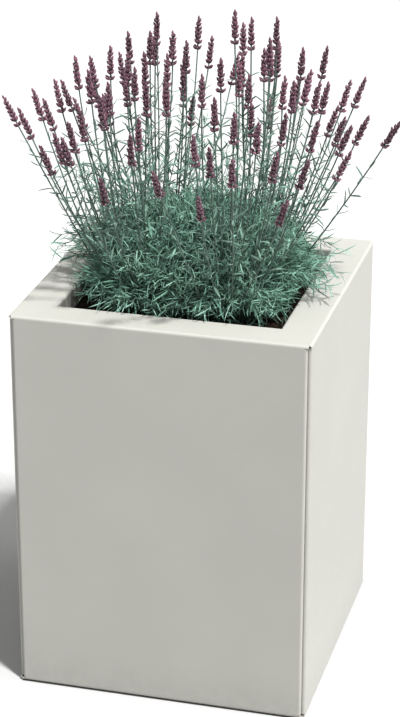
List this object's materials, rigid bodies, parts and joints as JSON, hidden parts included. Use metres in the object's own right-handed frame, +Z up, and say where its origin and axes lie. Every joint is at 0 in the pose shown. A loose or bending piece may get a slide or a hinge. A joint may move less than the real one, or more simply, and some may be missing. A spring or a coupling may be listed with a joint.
{
  "type": "square planter",
  "caption": "Tall square planter of folded, powder-coated sheet with a wide rim, levelling feet and a lift-out insert planted with lavender.",
  "frame": {"origin": "on the floor under the centre of the square body", "axes": "+Z up, -Y out of the front wall, +X to the right seen from the front"},
  "size_m": [0.7432, 0.7432, 1.248],
  "materials": {
    "powder_coat": "satin",
    "galvanised": "satin",
    "zinc_plated_steel": "satin",
    "cushion_rubber": "matte",
    "black_plastic": "matte",
    "fleece": "matte",
    "soil": "matte",
    "foliage": "matte",
    "flower_stems": "matte",
    "flower_spikes": "matte"
  },
  "bodies": {
    "planter": {"front_panel": "powder_coat", "right_panel": "powder_coat", "back_panel": "powder_coat", "left_panel": "powder_coat", "gusset_front_right": "powder_coat", "gusset_back_right": "powder_coat", "gusset_back_left": "powder_coat", "gusset_front_left": "powder_coat", "stiffener_front": "galvanised", "stiffener_right": "galvanised", "stiffener_back": "galvanised", "stiffener_left": "galvanised", "base_plate": "galvanised", "base_rivets": "zinc_plated_steel", "rail_right": "galvanised", "rail_left": "galvanised", "cushion_right": "cushion_rubber", "cushion_left": "cushion_rubber", "cleat_front_right": "powder_coat", "cleat_back_right": "powder_coat", "cleat_back_left": "powder_coat", "cleat_front_left": "powder_coat", "rail_bolts": "zinc_plated_steel", "rail_nuts": "zinc_plated_steel", "bracket_front_right": "galvanised", "bracket_back_right": "galvanised", "bracket_back_left": "galvanised", "bracket_front_left": "galvanised", "weld_nuts": "zinc_plated_steel", "lock_nuts": "zinc_plated_steel"},
    "foot_front_right": {"foot_front_right": "black_plastic"},
    "stem_front_right": {"stem_front_right": "zinc_plated_steel"},
    "foot_back_right": {"foot_back_right": "black_plastic"},
    "stem_back_right": {"stem_back_right": "zinc_plated_steel"},
    "foot_back_left": {"foot_back_left": "black_plastic"},
    "stem_back_left": {"stem_back_left": "zinc_plated_steel"},
    "foot_front_left": {"foot_front_left": "black_plastic"},
    "stem_front_left": {"stem_front_left": "zinc_plated_steel"},
    "insert": {"liner": "galvanised", "drain_plate": "black_plastic", "fleece": "fleece", "soil": "soil", "foliage_front_right": "foliage", "foliage_back_right": "foliage", "foliage_back_left": "foliage", "foliage_front_left": "foliage", "flower_stems_front_right": "flower_stems", "flower_stems_back_right": "flower_stems", "flower_stems_back_left": "flower_stems", "flower_stems_front_left": "flower_stems", "flower_spikes_front_right": "flower_spikes", "flower_spikes_back_right": "flower_spikes", "flower_spikes_back_left": "flower_spikes", "flower_spikes_front_left": "flower_spikes"}
  },
  "joints": [
    {"name": "foot_front_right_height", "type": "slide", "parent": "planter", "child": "foot_front_right", "axis": [0, 0, -1], "range_m": [0, 0.015]},
    {"name": "stem_front_right_turn", "type": "hinge", "parent": "foot_front_right", "child": "stem_front_right", "pos_m": [0.22, -0.22, 0.012], "axis": [0, 0, -1], "range_deg": [0, 3600.5]},
    {"name": "foot_back_right_height", "type": "slide", "parent": "planter", "child": "foot_back_right", "axis": [0, 0, -1], "range_m": [0, 0.015]},
    {"name": "stem_back_right_turn", "type": "hinge", "parent": "foot_back_right", "child": "stem_back_right", "pos_m": [0.22, 0.22, 0.012], "axis": [0, 0, -1], "range_deg": [0, 3600.5]},
    {"name": "foot_back_left_height", "type": "slide", "parent": "planter", "child": "foot_back_left", "axis": [0, 0, -1], "range_m": [0, 0.015]},
    {"name": "stem_back_left_turn", "type": "hinge", "parent": "foot_back_left", "child": "stem_back_left", "pos_m": [-0.22, 0.22, 0.012], "axis": [0, 0, -1], "range_deg": [0, 3600.5]},
    {"name": "foot_front_left_height", "type": "slide", "parent": "planter", "child": "foot_front_left", "axis": [0, 0, -1], "range_m": [0, 0.015]},
    {"name": "stem_front_left_turn", "type": "hinge", "parent": "foot_front_left", "child": "stem_front_left", "pos_m": [-0.22, -0.22, 0.012], "axis": [0, 0, -1], "range_deg": [0, 3600.5]},
    {"name": "insert_lift", "type": "slide", "parent": "planter", "child": "insert", "axis": [0, 0, 1], "range_m": [0, 0.45]}
  ],
  "couplings": [
    {"joint": "stem_front_right_turn", "follows": "foot_front_right_height", "rad_per_m": 4188.8},
    {"joint": "stem_back_right_turn", "follows": "foot_back_right_height", "rad_per_m": 4188.8},
    {"joint": "stem_back_left_turn", "follows": "foot_back_left_height", "rad_per_m": 4188.8},
    {"joint": "stem_front_left_turn", "follows": "foot_front_left_height", "rad_per_m": 4188.8}
  ]
}
